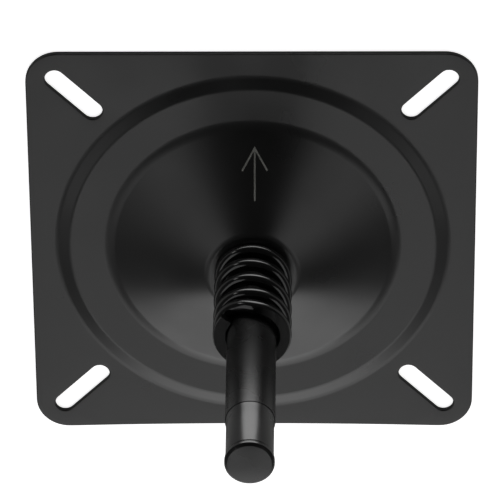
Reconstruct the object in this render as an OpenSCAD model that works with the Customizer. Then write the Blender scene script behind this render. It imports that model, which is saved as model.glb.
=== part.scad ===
// Seat mount: a pressed steel seat plate with a turned stem welded through
// its dome and a coil spring around the stem.
// It lies on its seat face, stem up: z = 0 is the seat face, the stem's axis
// is the Z axis, and -Y is the front of the seat.

/* [Plate] */
// Side of the square plate
plate_w = 203; // [196:1:230]
// Thickness of the sheet
plate_t = 2.7; // [2:0.1:4]
// Radius of the plate's four corners
corner_r = 15; // [8:1:20]
// How far pressing has drawn in the middle of the rear edge
edge_draw = 1.2; // [0.4:0.1:2]

/* [Seat bolt slots] */
// Distance between slot centres, across and along
slot_pitch = 160; // [156:1:164]
// Length of a slot, end to end
slot_l = 32.5; // [24:0.5:36]
// Width of a slot
slot_w = 9; // [6:0.5:11]

/* [Dome] */
// Diameter of the foot of the raised step
step_d = 179; // [172:1:180]
// Width of the step's slope
step_run = 6; // [4:0.5:9]
// Height of the step
step_h = 1.5; // [1:0.1:2.5]
// Diameter at which the cone leaves the flat ring
cone_d = 130; // [110:1:140]
// Height of the dome's top over the seat face
dome_h = 27.5; // [20:0.5:34]
// Diameter of the flat on the dome's top
top_d = 41; // [38:0.5:50]
// Inner radius of the bend at the step's foot
foot_bend = 1; // [0.5:0.5:3]
// Inner radius of the other pressed bends
press_bend = 4; // [2:0.5:6]

/* [Arrow] */
// Length of the engraved arrow, seen from above
arrow_l = 21.2; // [14:0.1:24]
// Distance from the stem's axis to the arrow's tip
arrow_reach = 56; // [52:0.5:58]
// Width of the arrow's head
arrow_head_w = 11.4; // [8:0.1:16]
// Length of the arrow's head
arrow_head_l = 9.2; // [6:0.1:12]
// Width of the engraved line
arrow_line = 1.1; // [0.8:0.1:2]
// Depth of the engraved line
arrow_depth = 0.4; // [0.2:0.1:0.8]
// How far the arrow lies from the centre line
arrow_shift = -1.2; // [-3:0.1:3]

/* [Stem] */
// Diameter of the stem where the pedestal takes it
stem_d = 22; // [21:0.1:22.4]
// Height of the stem's end over the seat face
stem_end = 175; // [168:1:200]
// Diameter of the stem inside the spring
relief_d = 21.5; // [19:0.1:21.6]
// Height of the shoulder over the seat face
shoulder_z = 143.5; // [120:0.5:150]
// Diameter of the journal past the shoulder
journal_d = 20.6; // [18:0.1:20.8]
// Diameter of the head
head_d = 21.8; // [21:0.1:22]
// Length of the head
head_l = 3.6; // [2:0.1:6]
// Width of the groove behind the head
groove_w = 0.8; // [0.5:0.1:2]
// Depth of the groove behind the head
groove_depth = 0.5; // [0.2:0.1:1]
// Chamfer on the head's end
head_chamfer = 0.8; // [0.4:0.1:1.4]
// Chamfer at the shoulder
shoulder_chamfer = 0.5; // [0.2:0.1:0.6]
// Diameter of the spigot through the dome
spigot_d = 16; // [12:0.5:18]
// Gap around the spigot in the dome's hole
spigot_gap = 0.1; // [0.05:0.05:0.4]
// How far the spigot stands past the sheet inside the dome
spigot_stand = 3; // [2:0.5:5]
// Width of the weld bead on the sheet
weld_leg = 3.5; // [2.5:0.5:6]

/* [Spring] */
// Outer diameter of the spring
spring_od = 35.2; // [34.5:0.1:36.5]
// Diameter of the wire
wire_d = 6; // [4.5:0.1:6.2]
// Free length of the spring
spring_l = 50.5; // [45:0.5:60]
// Number of turns
spring_turns = 5; // [4:0.5:6]
// Thickness left at the ground tip of the free end
tip_t = 1.5; // [0.8:0.1:3]
// Depth ground off the end on the dome
seat_grind = 0.8; // [0.4:0.1:2]
// Where the wire's free tip lies round the stem, in degrees
tip_angle = -38; // [-180:1:180]
// How far the spring sits off the stem's axis
spring_shift = 0.3; // [0:0.1:0.4]

/* [Hidden] */

black_paint = [0.07, 0.07, 0.075];
weld_grey = [0.12, 0.115, 0.11];
spring_black = [0.1, 0.1, 0.105];

eps = 1;
round_fn = 180;
edge_fn = 1440;
edge_start = 2;
bend_steps = 8;

// The plate's middle line, from the flange in to the hole at the stem.
step_r = step_d / 2;
cone_r = cone_d / 2;
top_r = top_d / 2;
hole_r = spigot_d / 2 + spigot_gap;
rim_r = step_r + 3;
mid = plate_t / 2;
press_line = [
    [rim_r, mid],
    [step_r, mid],
    [step_r - step_run, mid + step_h],
    [cone_r, mid + step_h],
    [top_r, dome_h - mid],
    [hole_r, dome_h - mid]
];
press_radii = [0, foot_bend + mid, press_bend + mid, press_bend + mid, press_bend + mid, 0];

// The spring's places.
spring_end = dome_h + spring_l;
spring_mean_r = (spring_od - wire_d) / 2;
first_z = spring_end + wire_d / 2 - tip_t;
last_z = dome_h + wire_d / 2 - seat_grind;
closed_pitch = wire_d + 0.1;
ramp_start = 0.75;
ramp_end = 1.05;
ramp_mid = (ramp_start + ramp_end) / 2;
extra_pitch = (first_z - last_z - closed_pitch * spring_turns) / (spring_turns - ramp_mid);
rings_per_turn = 40;
wire_sides = 16;

// A turn of 90 degrees to the left of a direction.
function left_of(d) = [-d[1], d[0]];
function unit(d) = d / norm(d);
function cross_2d(a, b) = a[0] * b[1] - a[1] * b[0];

// The points of one rounded bend of a line that runs side away from the line p.
function bend(p, i, radius, side) =
    let(
        u = unit(p[i] - p[i - 1]),
        v = unit(p[i + 1] - p[i]),
        turn = asin(cross_2d(u, v)),
        sense = turn > 0 ? 1 : -1,
        centre_r = radius,
        setback = centre_r * tan(abs(turn) / 2),
        centre = p[i] - u * setback + left_of(u) * sense * centre_r,
        arc_r = centre_r - sense * side,
        from = -left_of(u) * sense
    )
    [for (k = [0:bend_steps])
        let(a = turn * k / bend_steps)
        centre + arc_r * [
            from[0] * cos(a) - from[1] * sin(a),
            from[0] * sin(a) + from[1] * cos(a)
        ]
    ];

// One face of the sheet: the middle line moved side to its left.
function sheet_face(p, radii, side) = [
    p[0] + left_of(unit(p[1] - p[0])) * side,
    for (i = [1:len(p) - 2]) each bend(p, i, radii[i], side),
    p[len(p) - 1] + left_of(unit(p[len(p) - 1] - p[len(p) - 2])) * side
];

function reversed(list) = [for (i = [len(list) - 1:-1:0]) list[i]];

// A band of the sheet's section between two distances from the middle line.
module sheet_band(low, high) {
    lower = sheet_face(press_line, press_radii, -low);
    upper = sheet_face(press_line, press_radii, -high);
    rotate_extrude($fn = round_fn)
        polygon(concat(lower, reversed(upper)));
}

module slot() {
    straight = slot_l - slot_w;
    translate([0, 0, -eps]) {
        translate([-straight / 2, -slot_w / 2, 0])
            cube([straight, slot_w, plate_t + 2 * eps]);
        for (end = [-1, 1])
            translate([end * straight / 2, 0, 0])
                cylinder(d = slot_w, h = plate_t + 2 * eps, $fn = 48);
    }
}

module plate_blank() {
    inner = plate_w - 2 * corner_r;
    sweep_half = inner / 2 - edge_start;
    sweep_r = (sweep_half * sweep_half + edge_draw * edge_draw) / (2 * edge_draw);
    difference() {
        union() {
            translate([-inner / 2, -plate_w / 2, 0])
                cube([inner, plate_w, plate_t]);
            translate([-plate_w / 2, -inner / 2, 0])
                cube([plate_w, inner, plate_t]);
            for (x = [-1, 1], y = [-1, 1])
                translate([x * inner / 2, y * inner / 2, 0])
                    cylinder(r = corner_r, h = plate_t, $fn = 96);
        }
        translate([0, plate_w / 2 - edge_draw + sweep_r, -eps])
            cylinder(r = sweep_r, h = plate_t + 2 * eps, $fn = edge_fn);
        translate([0, 0, -eps])
            cylinder(r = rim_r, h = plate_t + 2 * eps, $fn = round_fn);
        for (x = [-1, 1], y = [-1, 1])
            translate([x * slot_pitch / 2, y * slot_pitch / 2, 0])
                rotate([0, 0, x * y * 45])
                    slot();
    }
}

// One side of the arrow's outline, from its point back to its tail.
function arrow_side(side) =
    let(
        half = arrow_line / 2,
        u = unit([arrow_head_w / 2, arrow_head_l]),
        barb = [arrow_head_w / 2, arrow_head_l],
        out = half * [u[1], -u[0]],
        inner_y = half * u[0] + half * (1 + u[1]) / u[0] * u[1]
    )
    [for (p = [barb + out, barb - out, [half, inner_y], [half, arrow_l]]) [side * p[0], p[1]]];

module arrow_cut() {
    point = [0, -arrow_line * norm([arrow_head_w / 2, arrow_head_l]) / arrow_head_w];
    intersection() {
        translate([arrow_shift, -arrow_reach, 0])
            linear_extrude(height = dome_h + eps)
                polygon(concat([point], arrow_side(1), reversed(arrow_side(-1))));
        sheet_band(mid - arrow_depth, mid + eps);
    }
}

module seat_plate() {
    color(black_paint)
        difference() {
            union() {
                plate_blank();
                sheet_band(-mid, mid);
            }
            arrow_cut();
        }
}

module stem() {
    spigot_r = spigot_d / 2;
    head_r = head_d / 2;
    journal_r = journal_d / 2;
    head_z = stem_end - head_l;
    color(black_paint)
        rotate_extrude($fn = round_fn)
            polygon([
                [0, dome_h - plate_t - spigot_stand],
                [spigot_r, dome_h - plate_t - spigot_stand],
                [spigot_r, dome_h],
                [relief_d / 2, dome_h],
                [relief_d / 2, spring_end],
                [stem_d / 2, spring_end],
                [stem_d / 2, shoulder_z - shoulder_chamfer],
                [stem_d / 2 - shoulder_chamfer, shoulder_z],
                [journal_r, shoulder_z],
                [journal_r, head_z - groove_w],
                [journal_r - groove_depth, head_z - groove_w],
                [journal_r - groove_depth, head_z],
                [head_r, head_z],
                [head_r, stem_end - head_chamfer],
                [head_r - head_chamfer, stem_end],
                [0, stem_end]
            ]);
}

// The bead lies in the corner between the sheet's inner face and the spigot.
module stem_weld() {
    inner_z = dome_h - plate_t;
    foot_r = spigot_d / 2;
    bulge = 0.2;
    arc = [for (k = [0:bend_steps])
        let(
            a = 90 * k / bend_steps,
            swell = 1 + bulge * sin(2 * a),
            x = (weld_leg * (1 - sin(a))) * swell,
            y = (spigot_stand * (1 - cos(a))) * swell
        )
        [foot_r + x, inner_z - y]
    ];
    color(weld_grey)
        rotate_extrude($fn = round_fn)
            polygon(concat([[foot_r, inner_z]], arc));
}

// How far the wire has come down from its free tip after s turns.
function ramp(s) =
    s < ramp_start ? 0 :
    s < ramp_end ? (s - ramp_start) * (s - ramp_start) / (2 * (ramp_end - ramp_start)) :
    s - ramp_mid;
function wire_z(s) = first_z - closed_pitch * s - extra_pitch * ramp(s);

// One ring of the wire, s turns from the free tip.
function wire_ring(s) =
    let(a = tip_angle + 360 * s)
    [for (k = [0:wire_sides - 1])
        let(
            b = 360 * (k + 0.5) / wire_sides,
            r = spring_mean_r + wire_d / 2 * cos(b)
        )
        [r * cos(a), r * sin(a), wire_z(s) + wire_d / 2 * sin(b)]
    ];

module wire_coil() {
    count = spring_turns * rings_per_turn;
    points = [for (i = [0:count]) each wire_ring(i / rings_per_turn)];
    last = count * wire_sides;
    sides = [for (i = [0:count - 1], k = [0:wire_sides - 1])
        let(
            a = i * wire_sides,
            n = (k + 1) % wire_sides
        )
        [a + k, a + n, a + wire_sides + n, a + wire_sides + k]
    ];
    caps = [
        [for (k = [wire_sides - 1:-1:0]) k],
        [for (k = [0:wire_sides - 1]) last + k]
    ];
    polyhedron(points, concat(sides, caps));
}

module coil_spring() {
    block = spring_od + 2 * eps;
    color(spring_black)
        translate([-spring_shift, 0, 0])
            intersection() {
                wire_coil();
                translate([-block / 2, -block / 2, dome_h])
                    cube([block, block, spring_l]);
            }
}

seat_plate();
stem();
stem_weld();
coil_spring();
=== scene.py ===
"""A seat mount: a pressed seat plate with a welded stem and a coil spring round it."""
from math import cos, pi, radians, sin, tan

import bmesh
import bpy
from bpy.props import FloatProperty, FloatVectorProperty, IntProperty, PointerProperty
from bpy.types import Operator, Panel, PropertyGroup
from mathutils import Matrix, Vector


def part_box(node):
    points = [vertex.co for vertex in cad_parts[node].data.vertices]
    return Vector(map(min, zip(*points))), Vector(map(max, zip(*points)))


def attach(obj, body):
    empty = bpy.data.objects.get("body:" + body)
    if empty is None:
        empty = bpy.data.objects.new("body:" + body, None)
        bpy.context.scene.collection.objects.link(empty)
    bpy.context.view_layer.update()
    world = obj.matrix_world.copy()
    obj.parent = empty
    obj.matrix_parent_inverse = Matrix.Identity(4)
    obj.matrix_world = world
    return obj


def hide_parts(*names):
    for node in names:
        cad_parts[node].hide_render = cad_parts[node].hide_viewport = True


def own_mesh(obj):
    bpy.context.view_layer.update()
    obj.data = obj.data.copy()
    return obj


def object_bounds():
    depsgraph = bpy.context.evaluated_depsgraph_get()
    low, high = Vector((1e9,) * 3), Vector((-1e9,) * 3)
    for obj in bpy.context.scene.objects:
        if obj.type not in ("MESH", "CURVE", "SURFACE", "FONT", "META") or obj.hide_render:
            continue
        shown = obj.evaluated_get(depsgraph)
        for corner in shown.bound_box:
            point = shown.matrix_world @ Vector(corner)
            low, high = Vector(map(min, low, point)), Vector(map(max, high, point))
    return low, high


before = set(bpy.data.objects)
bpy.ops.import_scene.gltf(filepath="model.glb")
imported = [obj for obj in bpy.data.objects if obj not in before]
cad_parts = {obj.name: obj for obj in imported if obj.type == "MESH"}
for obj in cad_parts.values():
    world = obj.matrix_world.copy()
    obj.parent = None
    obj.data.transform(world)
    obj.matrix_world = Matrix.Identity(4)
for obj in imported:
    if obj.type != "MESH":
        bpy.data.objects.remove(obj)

bl_info = {
    "name": "Seat Mount",
    "version": (1, 0, 0),
    "blender": (4, 5, 0),
    "location": "View3D > Sidebar > Seat Mount",
    "description": "Builds a seat mount's pressed plate, stem, weld and spring",
    "category": "Add Mesh",
}

CAD_BOX = [list(corner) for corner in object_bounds()]
PLATE_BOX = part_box("seat_plate")
STEM_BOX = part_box("stem")
SPRING_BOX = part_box("coil_spring")
UP = Vector((0.0, 0.0, 1.0))

# Sockets of a Mix node that mixes colours
MIX_FIRST, MIX_SECOND, MIX_RESULT = 6, 7, 2

# How finely the round forms are divided
PLATE_STEPS = 180
STEM_STEPS = 128
RIPPLE_STEPS = 8
WIRE_STEPS = 80
WIRE_SIDES = 28
BEND_SEGMENTS = 8
EDGE_SEGMENTS = 3
GROUND_SEGMENTS = 2
CORNER_SEGMENTS = 14
SLOT_SEGMENTS = 10
DRAWN_EDGE_CUTS = 48
ARROW_CUTS = 5
EASING_STEPS = 4

# Vertices nearer than this are one, in metres
MERGE_DISTANCE = 1e-6

# Name, azimuth and elevation in degrees, distance, width and height in metres, brightness
LAMPS = (
    ("rear window", 180, 35, 2.5, 1.4, 1.6, 1.9),
    ("rear strip", 180, 11, 2.5, 3.2, 0.9, 1.6),
    ("rear left spark", 167, 62, 2.0, 0.24, 0.22, 3.4),
    ("rear right spark", -167, 62, 2.0, 0.24, 0.22, 3.4),
    ("left side", 92, 53, 2.5, 2.4, 1.1, 0.95),
    ("right side", -92, 53, 2.5, 2.4, 1.1, 0.95),
    ("left spark", 48, 10, 2.0, 0.3, 0.4, 3.0),
)
FRONT_CARD = ("front card", 0, 0, 0.3, 0.18, 0.38, 4.2)
CARD_HEIGHT = 0.001
FLOOR_GAP = 0.0001
FLOOR_GLOW = 0.85
SENSOR_WIDTH = 36.0
CLIP_END = 20.0


def linear(code):
    """An sRGB hex colour as linear red, green and blue."""
    shares = [int(code[i:i + 2], 16) / 255 for i in (0, 2, 4)]
    return [c / 12.92 if c <= 0.04045 else ((c + 0.055) / 1.055) ** 2.4 for c in shares]


def length(name, description, default):
    """A size that a user would change, in metres."""
    return FloatProperty(
        name=name, description=description, default=default, min=0.0, unit="LENGTH", precision=5
    )


def share(name, description, default):
    """A number of turns, or one size over another."""
    return FloatProperty(name=name, description=description, default=default, min=0.0)


def colour(name, description, code):
    """A colour that a user would change."""
    return FloatVectorProperty(
        name=name, description=description, default=linear(code), size=3, min=0.0, max=1.0,
        subtype="COLOR",
    )


class SeatPlateSizes(PropertyGroup):
    """Sizes of the pressed plate."""
    width: length("Width", "Side of the square plate", PLATE_BOX[1][0] - PLATE_BOX[0][0])
    thickness: length("Thickness", "Thickness of the sheet", 0.0027)
    corner: length("Corner radius", "Radius of the plate's corners", 0.015)
    edge_draw: length("Drawn edge", "How far pressing drew in the rear edge", 0.0012)
    edge_start: length("Drawn edge start", "From a corner's end to the drawn stretch", 0.002)
    slot_pitch: length("Slot spacing", "Between slot centres, across and along", 0.160)
    slot_length: length("Slot length", "Length of a slot", 0.0325)
    slot_width: length("Slot width", "Width of a slot", 0.009)
    step_foot: length("Step foot", "Radius of the raised step's foot", 0.0895)
    step_rim: length("Step rim", "Flat ring that is spun with the step, round its foot", 0.003)
    step_run: length("Step run", "Width of the step's slope", 0.006)
    step_height: length("Step height", "Height of the step", 0.0015)
    cone_foot: length("Cone foot", "Radius at which the cone starts", 0.065)
    dome_height: length("Dome height", "Height of the dome's top", PLATE_BOX[1][2])
    top: length("Top flat", "Radius of the flat on the dome", 0.0205)
    hole: length("Hole", "Radius of the hole for the stem", 0.0081)
    foot_bend: length("Foot bend", "Inner radius of the bend at the step's foot", 0.010)
    cone_bend: length("Cone bend", "Inner radius of the bend at the cone's foot", 0.012)
    press_bend: length("Press bend", "Inner radius of the other bends", 0.004)
    edge_round: length("Edge rounding", "Rounding of the sheared edges", 0.0005)


class ArrowSizes(PropertyGroup):
    """Sizes of the engraved arrow."""
    length: length("Length", "Length seen from above", 0.0212)
    reach: length("Reach", "From the stem's axis to the point", 0.056)
    head_width: length("Head width", "Width of the arrow's head", 0.0114)
    head_length: length("Head length", "Length of the arrow's head", 0.0092)
    line: length("Line", "Width of the engraved line", 0.0008)
    depth: length("Depth", "Depth of the engraved line", 0.00022)
    shift: length("Shift", "How far it lies to the left of the centre line", 0.0012)


class StemSizes(PropertyGroup):
    """Sizes of the turned stem."""
    end: length("End", "Height of the stem's end", STEM_BOX[1][2])
    foot: length("Foot", "Height of the spigot's end", STEM_BOX[0][2])
    radius: length("Radius", "Radius where the pedestal takes it", 0.011)
    relief: length("Relief", "Radius inside the spring", 0.01075)
    relief_run: length("Relief run", "Length over which the relief fades out", 0.006)
    shoulder: length("Shoulder", "Height at which the shoulder starts", 0.143)
    shoulder_step: length("Shoulder step", "Chamfer at the shoulder's start", 0.0003)
    taper: length("Shoulder taper", "Length of the shoulder's taper", 0.0038)
    journal: length("Journal", "Radius past the shoulder", 0.01045)
    groove_width: length("Groove width", "Width of the groove behind the head", 0.0008)
    groove_depth: length("Groove depth", "Depth of the groove behind the head", 0.0005)
    head: length("Head", "Radius of the head", 0.0109)
    head_length: length("Head length", "Length of the head", 0.0032)
    head_chamfer: length("Head chamfer", "Chamfer on the head's end", 0.0012)
    spigot: length("Spigot", "Radius of the spigot through the dome", 0.008)
    edge_round: length("Edge rounding", "Rounding of the turned edges", 0.00015)


class WeldSizes(PropertyGroup):
    """Sizes of the weld bead."""
    leg: length("Leg", "Width of the bead on the sheet", 0.0035)
    stand: length("Stand", "Height of the bead on the spigot", 0.003)
    ripple: length("Ripple", "Height of the bead's ripples", 0.00012)
    ripples: IntProperty(name="Ripples", description="Ripples round the bead", default=34, min=3)


class SpringSizes(PropertyGroup):
    """Sizes of the coil spring."""
    outer: length("Outer radius", "Outer radius of the spring", 0.0176)
    wire: length("Wire", "Diameter of the wire", 0.006)
    level_grind: length("Level grinding", "Depth ground off the whole free end", 0.0006)
    tip_grind: length("Tip grinding", "Depth ground off at the free tip besides", 0.0013)
    end_grind: length("End grinding", "Depth ground off just past the free tip besides", 0.0008)
    seat_grind: length("Seat grinding", "Depth ground off the end on the dome", 0.0008)
    gap: length("Gap", "Gap under the free tip", 0.0001)
    turns: share("Turns", "Number of turns", 5.2)
    tip_turns: share("Tip turns", "Turns in which the tip's grinding fades", 0.1)
    flat_turns: share("Flat turns", "Turns that lie in the ground end", 0.84)
    beneath_turns: share("Beneath turns", "Turns after which the wire is under its tip", 0.98)
    slow_turns: share("Slow turns", "Turns after which the coil is fully open", 1.85)
    slow_pitch: share("Slow pitch", "Pitch of the slow turns over the wire's diameter", 1.09)
    seat_turns: share("Seat turns", "Turns that lie on the dome", 0.35)
    easing: share("Easing", "Turns over which the coil's bends are eased, each way", 0.04)
    tip_angle: FloatProperty(
        name="Tip angle", description="Where the free tip lies round the stem",
        default=radians(-38), subtype="ANGLE",
    )
    shift: length("Shift", "How far the spring sits off the axis, to the right", 0.0003)
    edge_round: length("Edge rounding", "Rounding of the ground faces' rims", 0.0002)


class Finishes(PropertyGroup):
    """Colours of the coatings and the studio."""
    plate: colour("Plate", "Dip coating on the pressed plate", "0E0E0E")
    # The arrow's lines are coloured light grey, far lighter than the plate's black.
    engraving: colour("Engraving", "Light grey colour in the arrow's lines", "787874")
    stem: colour("Stem", "Gloss coating on the turned stem", "0D0D0D")
    weld: colour("Weld", "Coating over the weld bead", "121211")
    spring: colour("Spring", "Gloss coating on the spring wire", "0C0C0C")
    floor: colour("Floor", "Pale studio floor", "F4F4F3")


class StudioSizes(PropertyGroup):
    """The camera and the floor."""
    lens: FloatProperty(name="Lens", description="Focal length in mm", default=366.101)
    location: FloatVectorProperty(
        name="Camera", description="Place of the camera", subtype="TRANSLATION",
        default=(-0.025815, -1.273221, 1.946992),
    )
    azimuth: FloatProperty(
        name="Azimuth", description="Camera's direction round the part", subtype="ANGLE",
        default=radians(-1.22124),
    )
    elevation: FloatProperty(
        name="Elevation", description="Camera's height over the horizon", subtype="ANGLE",
        default=radians(56.7119),
    )
    roll: FloatProperty(
        name="Roll", description="Turn of the camera about its own axis", subtype="ANGLE",
        default=radians(-179.03043),
    )
    floor: length("Floor", "Side of the studio floor", 12.0)


class SeatMountSettings(PropertyGroup):
    """All the sizes and colours of the seat mount."""
    plate: PointerProperty(type=SeatPlateSizes)
    arrow: PointerProperty(type=ArrowSizes)
    stem: PointerProperty(type=StemSizes)
    weld: PointerProperty(type=WeldSizes)
    spring: PointerProperty(type=SpringSizes)
    finish: PointerProperty(type=Finishes)
    studio: PointerProperty(type=StudioSizes)


# Nodes and materials

def add_node(tree, kind, inputs=None, **settings):
    """Adds a node with its settings.

    inputs maps a socket to its value or to the output that feeds it.
    """
    node = tree.nodes.new(kind)
    for name, value in settings.items():
        setattr(node, name, value)
    for name, source in (inputs or {}).items():
        if isinstance(source, bpy.types.NodeSocket):
            tree.links.new(source, node.inputs[name])
        else:
            node.inputs[name].default_value = source
    return node


def new_material(name):
    """An empty node material and its tree."""
    material = bpy.data.materials.new(name)
    material.use_nodes = True
    material.node_tree.nodes.clear()
    return material, material.node_tree


def coated_steel(name, tint, gloss, peel, grain, lines=0.0, engraved=None):
    """Black paint over steel: an even dark film, a little uneven in gloss, with faint orange peel.

    gloss is its lowest and highest roughness, peel the width of one dimple of the film, grain the
    height of the dimples and of any turning marks, lines the pitch of the marks, and engraved the
    colour of the faces that the mesh marks as engraved.
    """
    material, tree = new_material(name)
    place = add_node(tree, "ShaderNodeTexCoord").outputs["Object"]
    cloud_size = 0.045
    cloud = add_node(tree, "ShaderNodeTexNoise", {
        "Vector": place, "Scale": 1 / cloud_size, "Detail": 3.0, "Roughness": 0.55,
    })
    dimples = add_node(tree, "ShaderNodeTexNoise", {
        "Vector": place, "Scale": 1 / peel, "Detail": 2.0, "Roughness": 0.5,
    })
    darker, lighter = ([level * c for c in tint] + [1.0] for level in (0.8, 1.2))
    film = add_node(tree, "ShaderNodeMix", {
        "Factor": cloud.outputs["Fac"], MIX_FIRST: darker, MIX_SECOND: lighter,
    }, data_type="RGBA")
    shade = film.outputs[MIX_RESULT]
    # Faces marked as engraved take the light grey colour in place of the dark film.
    if engraved:
        mark = add_node(tree, "ShaderNodeAttribute", attribute_name="engraved")
        marked = add_node(tree, "ShaderNodeMix", {
            "Factor": mark.outputs["Fac"], MIX_FIRST: shade, MIX_SECOND: [*engraved, 1.0],
        }, data_type="RGBA")
        shade = marked.outputs[MIX_RESULT]
    roughness = add_node(tree, "ShaderNodeMapRange", {
        "Value": cloud.outputs["Fac"], "From Min": 0.3, "From Max": 0.7,
        "To Min": gloss[0], "To Max": gloss[1],
    })
    surface = add_node(tree, "ShaderNodeBump", {
        "Height": dimples.outputs["Fac"], "Strength": 1.0, "Distance": grain,
    })
    if lines:
        waves = 20 / (2 * pi)  # waves in a metre at a scale of 1
        marks = add_node(tree, "ShaderNodeTexWave", {
            "Vector": place, "Scale": 1 / (waves * lines), "Distortion": 0.6,
        }, wave_type="BANDS", bands_direction="Z")
        surface = add_node(tree, "ShaderNodeBump", {
            "Height": marks.outputs["Fac"], "Strength": 1.0, "Distance": grain,
            "Normal": surface.outputs["Normal"],
        })
    paint = add_node(tree, "ShaderNodeBsdfPrincipled", {
        "Base Color": shade, "Roughness": roughness.outputs["Result"],
        "Normal": surface.outputs["Normal"], "IOR": 1.5, "Metallic": 0.0,
    })
    add_node(tree, "ShaderNodeOutputMaterial", {"Surface": paint.outputs["BSDF"]})
    return material


# Meshes

def line_of(bm, corners):
    """A line of edges through the corners, given as radius and height."""
    verts = [bm.verts.new((r, 0.0, z)) for r, z in corners]
    for a, b in zip(verts, verts[1:]):
        bm.edges.new((a, b))
    return verts


def bend(bm, corner, radius, segments):
    """Rounds one corner of a line of edges to that radius."""
    ways = [edge.other_vert(corner).co - corner.co for edge in corner.link_edges]
    turn = pi - ways[0].angle(ways[1])
    bmesh.ops.bevel(
        bm, geom=[corner], offset=radius * tan(turn / 2), segments=segments, profile=0.5,
        affect="VERTICES", material=-1,
    )


def spin_full(bm, steps):
    """Spins the whole of a line of edges once round the stem's axis."""
    bmesh.ops.spin(
        bm, geom=bm.verts[:] + bm.edges[:], cent=(0, 0, 0), axis=UP, dvec=(0, 0, 0),
        angle=2 * pi, steps=steps, use_merge=True, use_duplicate=False,
    )
    bmesh.ops.remove_doubles(bm, verts=bm.verts, dist=MERGE_DISTANCE)


def new_object(name, bm):
    """Turns a bmesh into an object of the scene."""
    mesh = bpy.data.meshes.new(name)
    bm.to_mesh(mesh)
    bm.free()
    piece = bpy.data.objects.new(name, mesh)
    bpy.context.scene.collection.objects.link(piece)
    return piece


def apply_modifiers(piece):
    """Makes the piece's modifiers part of its mesh."""
    graph = bpy.context.evaluated_depsgraph_get()
    mesh = bpy.data.meshes.new_from_object(piece.evaluated_get(graph))
    piece.modifiers.clear()
    piece.data = mesh


def smooth(piece, angle):
    """Smooth shading that breaks at edges sharper than the angle."""
    piece.data.shade_smooth()
    piece.data.set_sharp_from_angle(angle=angle)


def flatten_shading(piece):
    """Keeps the shading of large flat faces flat up to their rounded rims."""
    normals = piece.modifiers.new("normals", "WEIGHTED_NORMAL")
    normals.keep_sharp = True


def finish_piece(piece, material, node):
    """Gives a piece its finish and its body, and hides the CAD node that it stands for."""
    piece.data.materials.clear()
    piece.data.materials.append(material)
    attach(piece, "mount")
    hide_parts(node)


def loose_edges(bm, face):
    """Leaves only the outline of a face."""
    edges = face.edges[:]
    bmesh.ops.delete(bm, geom=[face], context="FACES_ONLY")
    return edges


def plate_outline(bm, sizes, height):
    """The rounded square, with its rear edge drawn in."""
    grid = bmesh.ops.create_grid(bm, x_segments=1, y_segments=1, size=sizes.width / 2)
    face = grid["verts"][0].link_faces[0]
    bmesh.ops.translate(bm, verts=face.verts, vec=UP * height)
    bmesh.ops.bevel(
        bm, geom=face.verts[:], offset=sizes.corner, segments=CORNER_SEGMENTS, profile=0.5,
        affect="VERTICES", material=-1,
    )
    face = bm.faces[:][-1]
    rear = max(face.edges, key=lambda edge: min(v.co.y for v in edge.verts))
    made = bmesh.ops.subdivide_edges(bm, edges=[rear], cuts=DRAWN_EDGE_CUTS)
    half = sizes.width / 2 - sizes.corner - sizes.edge_start
    for vert in (g for g in made["geom_inner"] if isinstance(g, bmesh.types.BMVert)):
        vert.co.y -= sizes.edge_draw * max(0.0, 1 - (vert.co.x / half) ** 2)
    return loose_edges(bm, face)


def slot_outline(bm, sizes, centre, angle):
    """One slot with round ends, turned by the angle and put at the centre."""
    grid = bmesh.ops.create_grid(bm, x_segments=1, y_segments=1, size=0.5)
    face = grid["verts"][0].link_faces[0]
    bmesh.ops.scale(bm, verts=face.verts, vec=(sizes.slot_length, sizes.slot_width, 1.0))
    place = Matrix.Translation(centre) @ Matrix.Rotation(angle, 4, "Z")
    bmesh.ops.transform(bm, matrix=place, verts=face.verts)
    before = set(bm.verts) - set(face.verts)
    end_radius = 0.4995 * sizes.slot_width  # just short of where the two rounds meet
    bmesh.ops.bevel(
        bm, geom=face.verts[:], offset=end_radius, segments=SLOT_SEGMENTS, profile=0.5,
        affect="VERTICES", material=-1,
    )
    rim = [v for v in bm.verts if v not in before]
    bmesh.ops.remove_doubles(bm, verts=rim, dist=20 * MERGE_DISTANCE)
    face = next(v for v in bm.verts if v not in before).link_faces[0]
    return loose_edges(bm, face)


def pressed_sheet(sizes):
    """The middle surface of the pressed plate, as a bmesh."""
    bm = bmesh.new()
    half = sizes.thickness / 2
    high = half + sizes.step_height
    corners = [
        (sizes.step_foot + sizes.step_rim, half), (sizes.step_foot, half),
        (sizes.step_foot - sizes.step_run, high), (sizes.cone_foot, high),
        (sizes.top, sizes.dome_height - half), (sizes.hole, sizes.dome_height - half),
    ]
    line = line_of(bm, corners)
    bends = (sizes.foot_bend, sizes.press_bend, sizes.cone_bend, sizes.press_bend)
    for corner, radius in zip(line[1:5], bends):
        bend(bm, corner, radius + half, BEND_SEGMENTS)
    spin_full(bm, PLATE_STEPS)
    outside = corners[0][0] - sizes.step_rim / 2
    rim = [e for e in bm.edges if e.is_boundary and e.verts[0].co.xy.length > outside]
    edges = rim + plate_outline(bm, sizes, half)
    for x in (-1, 1):
        for y in (-1, 1):
            centre = Vector((x * sizes.slot_pitch / 2, y * sizes.slot_pitch / 2, half))
            edges += slot_outline(bm, sizes, centre, x * y * pi / 4)
    bmesh.ops.triangle_fill(bm, use_beauty=True, use_dissolve=False, edges=edges)
    bmesh.ops.recalc_face_normals(bm, faces=bm.faces)
    if sum(face.normal.z * face.calc_area() for face in bm.faces) < 0:
        bmesh.ops.reverse_faces(bm, faces=bm.faces)
    return bm


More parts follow.
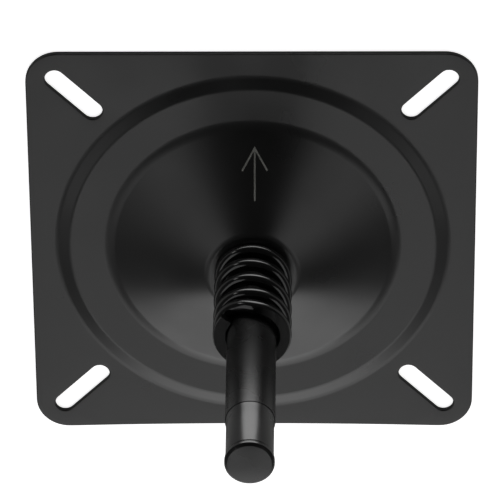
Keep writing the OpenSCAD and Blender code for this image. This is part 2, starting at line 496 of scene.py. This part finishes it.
def cone_surface(sizes, radius):
    """Height of the cone's outer face at a distance from the axis."""
    half = sizes.thickness / 2
    rise = sizes.dome_height - 2 * half - sizes.step_height
    slope = rise / (sizes.cone_foot - sizes.top)
    face = half * (1 + slope * slope) ** 0.5
    return half + sizes.step_height + face + (sizes.cone_foot - radius) * slope


def arrow_cutter(plate, sizes):
    """The arrow as a solid that follows the cone, with sloping sides under its surface."""
    bm = bmesh.new()
    half = sizes.line / 2
    barb = Vector((sizes.head_width / 2, sizes.head_length))
    way = barb.normalized()
    out = half * Vector((way.y, -way.x))
    inner = half * way.x + half * (1 + way.y) / way.x * way.y
    side = [barb + out, barb - out, Vector((half, inner)), Vector((half, sizes.length))]
    point = Vector((0.0, -half / way.x))
    outline = [point] + side + [Vector((-p.x, p.y)) for p in reversed(side)]
    clearance = 0.002
    long_edge = 0.003
    flank = 0.45 * sizes.line
    verts = [bm.verts.new((p.x - sizes.shift, p.y - sizes.reach, clearance)) for p in outline]
    face = bm.faces.new(verts)
    sides = bmesh.ops.extrude_face_region(bm, geom=[face])["geom"]
    low = [g for g in sides if isinstance(g, bmesh.types.BMVert)]
    bottom = next(g for g in sides if isinstance(g, bmesh.types.BMFace))
    bmesh.ops.translate(bm, verts=low, vec=(0, 0, -clearance))
    bmesh.ops.inset_region(bm, faces=[bottom], thickness=flank, depth=0.0)
    bmesh.ops.translate(bm, verts=bottom.verts, vec=(0, 0, -sizes.depth))
    long_edges = [e for e in bm.edges if e.calc_length() > long_edge]
    bmesh.ops.subdivide_edges(bm, edges=long_edges, cuts=ARROW_CUTS)
    for vert in bm.verts:
        vert.co.z += cone_surface(plate, vert.co.xy.length)
    bmesh.ops.triangulate(bm, faces=bm.faces)
    bmesh.ops.recalc_face_normals(bm, faces=bm.faces)
    return new_object("arrow_cutter", bm)


def mark_engraving(piece, plate, sizes):
    """Marks the faces of the arrow's groove for the plate's paint."""
    mark = piece.data.attributes.new("engraved", "FLOAT", "FACE")
    least, most = 0.1 * sizes.depth, 2 * sizes.depth
    for face in piece.data.polygons:
        across = abs(face.center.x + sizes.shift) < sizes.head_width / 2 + sizes.line
        along = -sizes.line < face.center.y + sizes.reach < sizes.length + sizes.line
        depth = cone_surface(plate, face.center.xy.length) - face.center.z
        if across and along and least < depth < most:
            mark.data[face.index].value = 1.0


def bevel_edges(piece, width, angle):
    """Rounds every edge of the piece that is sharper than the angle."""
    edge = piece.modifiers.new("edge", "BEVEL")
    edge.width = width
    edge.segments = EDGE_SEGMENTS
    edge.limit_method = "ANGLE"
    edge.angle_limit = angle


class SEATMOUNT_OT_plate(Operator):
    """Make the pressed seat plate with its slots and arrow"""
    bl_idname = "seatmount.plate"
    bl_label = "Seat plate"

    def execute(self, context):
        settings = context.scene.seat_mount
        sizes = settings.plate
        piece = new_object("pressed_plate", pressed_sheet(sizes))
        sheet = piece.modifiers.new("sheet", "SOLIDIFY")
        sheet.thickness = sizes.thickness
        sheet.offset = 0.0
        sheet.use_even_offset = True
        bevel_edges(piece, sizes.edge_round, radians(60))
        cutter = arrow_cutter(sizes, settings.arrow)
        cut = piece.modifiers.new("arrow", "BOOLEAN")
        cut.operation = "DIFFERENCE"
        cut.solver = "EXACT"
        cut.object = cutter
        apply_modifiers(piece)
        bpy.data.objects.remove(cutter)
        mark_engraving(piece, sizes, settings.arrow)
        smooth(piece, radians(40))
        flatten_shading(piece)
        material = coated_steel(
            "Black dip coating on pressed steel", settings.finish.plate,
            gloss=(0.26, 0.36), peel=0.0022, grain=0.00001, engraved=settings.finish.engraving,
        )
        finish_piece(piece, material, "seat_plate")
        return {"FINISHED"}


class SEATMOUNT_OT_stem(Operator):
    """Make the turned stem"""
    bl_idname = "seatmount.stem"
    bl_label = "Stem"

    def execute(self, context):
        settings = context.scene.seat_mount
        sizes = settings.stem
        seat_z = settings.plate.dome_height
        spring_z = SPRING_BOX[1][2]
        head_z = sizes.end - sizes.head_length
        groove_r = sizes.journal - sizes.groove_depth
        bm = bmesh.new()
        line = line_of(bm, [
            (0.0, sizes.foot), (sizes.spigot, sizes.foot), (sizes.spigot, seat_z),
            (sizes.relief, seat_z), (sizes.relief, spring_z - sizes.relief_run),
            (sizes.radius, spring_z), (sizes.radius, sizes.shoulder),
            (sizes.radius - sizes.shoulder_step, sizes.shoulder + sizes.shoulder_step),
            (sizes.journal, sizes.shoulder + sizes.taper),
            (sizes.journal, head_z - sizes.groove_width),
            (groove_r, head_z - sizes.groove_width), (groove_r, head_z),
            (sizes.head, head_z), (sizes.head, sizes.end - sizes.head_chamfer),
            (sizes.head - sizes.head_chamfer, sizes.end), (0.0, sizes.end),
        ])
        spigot_end, journal_end, head_edges = line[1], line[9], line[12:15]
        for corner in (spigot_end, journal_end, *head_edges):
            bend(bm, corner, sizes.edge_round, EDGE_SEGMENTS)
        spin_full(bm, STEM_STEPS)
        bmesh.ops.recalc_face_normals(bm, faces=bm.faces)
        piece = new_object("turned_stem", bm)
        smooth(piece, radians(25))
        material = coated_steel(
            "Gloss black coating on turned steel", settings.finish.stem,
            gloss=(0.24, 0.3), peel=0.0018, grain=0.000002, lines=0.00377,
        )
        finish_piece(piece, material, "stem")
        return {"FINISHED"}


class SEATMOUNT_OT_weld(Operator):
    """Make the rippled weld bead inside the dome"""
    bl_idname = "seatmount.weld"
    bl_label = "Weld bead"

    def execute(self, context):
        settings = context.scene.seat_mount
        sizes = settings.weld
        foot_r = settings.stem.spigot
        sheet_z = settings.plate.dome_height - settings.plate.thickness
        bm = bmesh.new()
        bulge, round_share, flat_share, swell = 0.75, 0.6, 0.2, 0.5
        line = line_of(bm, [
            (foot_r, sheet_z), (foot_r + sizes.leg, sheet_z),
            (foot_r + bulge * sizes.leg, sheet_z - bulge * sizes.stand),
            (foot_r, sheet_z - sizes.stand), (foot_r, sheet_z),
        ])
        bend(bm, line[2], round_share * sizes.leg, BEND_SEGMENTS)
        spin_full(bm, RIPPLE_STEPS * sizes.ripples)
        rippled_r = foot_r + flat_share * sizes.leg
        rippled_z = sheet_z - 10 * MERGE_DISTANCE
        for vert in bm.verts:
            face_r = vert.co.xy.length
            if face_r > rippled_r and vert.co.z < rippled_z:
                turn = Vector((1.0, 0.0)).angle_signed(vert.co.xy, 0.0)
                lift = sizes.ripple * sin(sizes.ripples * turn)
                vert.co.z -= lift
                vert.co.xy *= 1 + swell * lift / face_r
        bmesh.ops.recalc_face_normals(bm, faces=bm.faces)
        piece = new_object("weld_bead", bm)
        smooth(piece, radians(50))
        material = coated_steel(
            "Black coating over a weld", settings.finish.weld,
            gloss=(0.3, 0.42), peel=0.001, grain=0.00002,
        )
        finish_piece(piece, material, "stem_weld")
        return {"FINISHED"}


def wire_run(sizes, low, high):
    """Turns from the wire's free tip, and the height of its centre there."""
    free = high - sizes.wire / 2 + sizes.level_grind
    seat = low + sizes.wire / 2 - sizes.seat_grind
    beneath = free + sizes.tip_grind - sizes.wire - sizes.gap
    slow = sizes.slow_pitch * sizes.wire * (sizes.slow_turns - sizes.beneath_turns)
    return [
        (0.0, free + sizes.tip_grind), (sizes.tip_turns, free + sizes.end_grind),
        (sizes.flat_turns, free), (sizes.beneath_turns, beneath),
        (sizes.slow_turns, beneath - slow),
        (sizes.turns - sizes.seat_turns, seat), (sizes.turns, seat),
    ]


def wire_height(run, easing, turn):
    """Height of the wire's centre at a turn: the run with its bends eased."""
    heights = []
    for part in range(-EASING_STEPS, EASING_STEPS + 1):
        at = min(max(turn + easing * part / EASING_STEPS, 0.0), run[-1][0])
        start, end = next(pair for pair in zip(run, run[1:]) if at <= pair[1][0])
        heights.append(start[1] + (end[1] - start[1]) * (at - start[0]) / (end[0] - start[0]))
    return sum(heights) / len(heights)


def coil(sizes, low, high):
    """The wire swept down from the free tip, with its ends ground flat, as a bmesh."""
    bm = bmesh.new()
    run = wire_run(sizes, low, high)
    count = round(sizes.turns * WIRE_STEPS)
    heights = [wire_height(run, sizes.easing, sizes.turns * i / count) for i in range(count + 1)]
    circle = bmesh.ops.create_circle(
        bm, cap_ends=True, segments=WIRE_SIDES, radius=sizes.wire / 2
    )
    section = Matrix.Translation((sizes.outer - sizes.wire / 2, 0, heights[0]))
    section = Matrix.Rotation(sizes.tip_angle, 4, "Z") @ section @ Matrix.Rotation(pi / 2, 4, "X")
    bmesh.ops.transform(bm, matrix=section, verts=circle["verts"])
    geom = bm.edges[:]
    for height, lower in zip(heights, heights[1:]):
        spun = bmesh.ops.spin(
            bm, geom=geom, cent=(0, 0, 0), axis=UP, dvec=UP * (lower - height),
            angle=2 * pi * sizes.turns / count, steps=1, use_duplicate=False,
        )
        geom = [g for g in spun["geom_last"] if isinstance(g, bmesh.types.BMEdge)]
    bmesh.ops.contextual_create(bm, geom=geom)
    rims = []
    for height, keep in ((high, 1), (low, -1)):
        cut = bmesh.ops.bisect_plane(
            bm, geom=bm.verts[:] + bm.edges[:] + bm.faces[:], dist=1e-7,
            plane_co=UP * height, plane_no=UP * keep, clear_outer=True,
        )
        edges = [g for g in cut["geom_cut"] if isinstance(g, bmesh.types.BMEdge)]
        bmesh.ops.holes_fill(bm, edges=edges, sides=0)
        rims += edges
    bmesh.ops.recalc_face_normals(bm, faces=bm.faces)
    bmesh.ops.bevel(
        bm, geom=rims, offset=sizes.edge_round, segments=GROUND_SEGMENTS, profile=0.5,
        affect="EDGES", material=-1, clamp_overlap=True,
    )
    bmesh.ops.translate(bm, verts=bm.verts, vec=(-sizes.shift, 0, 0))
    return bm


class SEATMOUNT_OT_spring(Operator):
    """Make the coil spring, which closes up towards the dome"""
    bl_idname = "seatmount.spring"
    bl_label = "Coil spring"

    def execute(self, context):
        settings = context.scene.seat_mount
        low, high = SPRING_BOX[0][2], SPRING_BOX[1][2]
        piece = new_object("cushion_spring", coil(settings.spring, low, high))
        smooth(piece, radians(40))
        flatten_shading(piece)
        material = coated_steel(
            "Gloss black coating on spring wire", settings.finish.spring,
            gloss=(0.1, 0.16), peel=0.0015, grain=0.000005,
        )
        finish_piece(piece, material, "coil_spring")
        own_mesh(piece)
        return {"FINISHED"}


# Studio

def floor_material(tint):
    """A white studio floor that keeps the part's shadow."""
    material, tree = new_material("White studio floor")
    diffuse = add_node(tree, "ShaderNodeBsdfDiffuse", {"Color": [*tint, 1.0]})
    path = add_node(tree, "ShaderNodeLightPath")
    lift = add_node(tree, "ShaderNodeMath", {
        0: path.outputs["Is Camera Ray"], 1: FLOOR_GLOW,
    }, operation="MULTIPLY")
    glow = add_node(tree, "ShaderNodeEmission", {"Strength": lift.outputs["Value"]})
    both = add_node(tree, "ShaderNodeAddShader", {
        0: diffuse.outputs["BSDF"], 1: glow.outputs["Emission"],
    })
    add_node(tree, "ShaderNodeOutputMaterial", {"Surface": both.outputs["Shader"]})
    return material


def studio_world(scene):
    """White behind the part, pale round the horizon and dark overhead."""
    world = bpy.data.worlds.new("Studio")
    world.use_nodes = True
    tree = world.node_tree
    tree.nodes.clear()
    way = add_node(tree, "ShaderNodeTexCoord").outputs["Generated"]
    parts = add_node(tree, "ShaderNodeSeparateXYZ", {"Vector": way})
    height = add_node(tree, "ShaderNodeMapRange", {
        "Value": parts.outputs["Z"],
        "From Min": 0.1, "From Max": 0.8, "To Min": 1.0, "To Max": 0.4,
    })
    depth = add_node(tree, "ShaderNodeMapRange", {
        "Value": parts.outputs["Y"],
        "From Min": -0.6, "From Max": 0.6, "To Min": 0.08, "To Max": 0.2,
    })
    level = add_node(tree, "ShaderNodeMath", {
        0: height.outputs["Result"], 1: depth.outputs["Result"],
    }, operation="MULTIPLY")
    light = add_node(tree, "ShaderNodeBackground", {"Strength": level.outputs["Value"]})
    white = add_node(tree, "ShaderNodeBackground", {"Color": (1, 1, 1, 1), "Strength": 1.0})
    path = add_node(tree, "ShaderNodeLightPath")
    seen = add_node(tree, "ShaderNodeMath", {
        0: path.outputs["Is Camera Ray"], 1: path.outputs["Is Transmission Ray"],
    }, operation="ADD", use_clamp=True)
    both = add_node(tree, "ShaderNodeMixShader", {
        0: seen.outputs["Value"], 1: light.outputs["Background"], 2: white.outputs["Background"],
    })
    add_node(tree, "ShaderNodeOutputWorld", {"Surface": both.outputs["Shader"]})
    scene.world = world


def direction(azimuth, elevation):
    """A unit vector; the azimuth starts at the front, -Y, and goes towards +X."""
    level = cos(elevation)
    return Vector((sin(azimuth) * level, -cos(azimuth) * level, sin(elevation)))


def lamp(name, azimuth, elevation, distance, width, height, radiance):
    """A rectangular lamp that faces the part; radiance is the brightness of its face."""
    light = bpy.data.lights.new(name, "AREA")
    light.shape = "RECTANGLE"
    light.size = width
    light.size_y = height
    light.energy = radiance * pi * width * height
    lamp_object = bpy.data.objects.new(name, light)
    way = direction(radians(azimuth), radians(elevation))
    lamp_object.location = way * distance
    lamp_object.rotation_euler = way.to_track_quat("Z", "Y").to_euler()
    lamp_object.visible_camera = False
    bpy.context.scene.collection.objects.link(lamp_object)
    return lamp_object


def studio_floor(settings):
    """The floor that the part lies on."""
    bm = bmesh.new()
    bmesh.ops.create_grid(bm, x_segments=1, y_segments=1, size=settings.studio.floor / 2)
    bmesh.ops.translate(bm, verts=bm.verts, vec=(0, 0, CAD_BOX[0][2] - FLOOR_GAP))
    floor = new_object("studio_floor", bm)
    floor.data.materials.append(floor_material(settings.finish.floor))


def studio_lamps():
    """The lamps round the part, and one that lies in front of it on the floor and shines up."""
    for row in LAMPS:
        lamp(*row)
    card = lamp(*FRONT_CARD)
    card.location.z = CARD_HEIGHT
    card.rotation_euler = (pi, 0, 0)


def studio_camera(scene, sizes):
    """The camera, turned by its roll about its own axis."""
    camera = bpy.data.objects.new("camera", bpy.data.cameras.new("camera"))
    camera.data.lens = sizes.lens
    camera.data.sensor_width = SENSOR_WIDTH
    camera.data.clip_end = CLIP_END
    way = direction(sizes.azimuth, sizes.elevation)
    upright = way.to_track_quat("Z", "Y").to_matrix()
    turned = upright @ Matrix.Rotation(sizes.roll, 3, "Z")
    camera.matrix_world = Matrix.Translation(sizes.location) @ turned.to_4x4()
    scene.collection.objects.link(camera)
    scene.camera = camera


class SEATMOUNT_OT_studio(Operator):
    """Make the floor, the lamps, the world and the camera"""
    bl_idname = "seatmount.studio"
    bl_label = "Studio"

    def execute(self, context):
        scene = context.scene
        settings = scene.seat_mount
        studio_floor(settings)
        studio_world(scene)
        studio_lamps()
        studio_camera(scene, settings.studio)
        scene.view_settings.view_transform = "Standard"
        return {"FINISHED"}


PIECE_OPERATORS = (SEATMOUNT_OT_plate, SEATMOUNT_OT_stem, SEATMOUNT_OT_weld, SEATMOUNT_OT_spring)


class SEATMOUNT_PT_pieces(Panel):
    """Lists the pieces of the seat mount"""
    bl_label = "Seat Mount"
    bl_idname = "SEATMOUNT_PT_pieces"
    bl_space_type = "VIEW_3D"
    bl_region_type = "UI"
    bl_category = "Seat Mount"

    def draw(self, context):
        for operator in (*PIECE_OPERATORS, SEATMOUNT_OT_studio):
            self.layout.operator(operator.bl_idname)


CLASSES = (
    SeatPlateSizes, ArrowSizes, StemSizes, WeldSizes, SpringSizes, Finishes, StudioSizes,
    SeatMountSettings, *PIECE_OPERATORS, SEATMOUNT_OT_studio, SEATMOUNT_PT_pieces,
)


def register():
    for item in CLASSES:
        bpy.utils.register_class(item)
    bpy.types.Scene.seat_mount = PointerProperty(type=SeatMountSettings)


def unregister():
    del bpy.types.Scene.seat_mount
    for item in reversed(CLASSES):
        bpy.utils.unregister_class(item)


def main():
    register()
    bpy.ops.seatmount.plate()
    bpy.ops.seatmount.stem()
    bpy.ops.seatmount.weld()
    bpy.ops.seatmount.spring()
    bpy.ops.seatmount.studio()


if __name__ == "__main__":
    main()
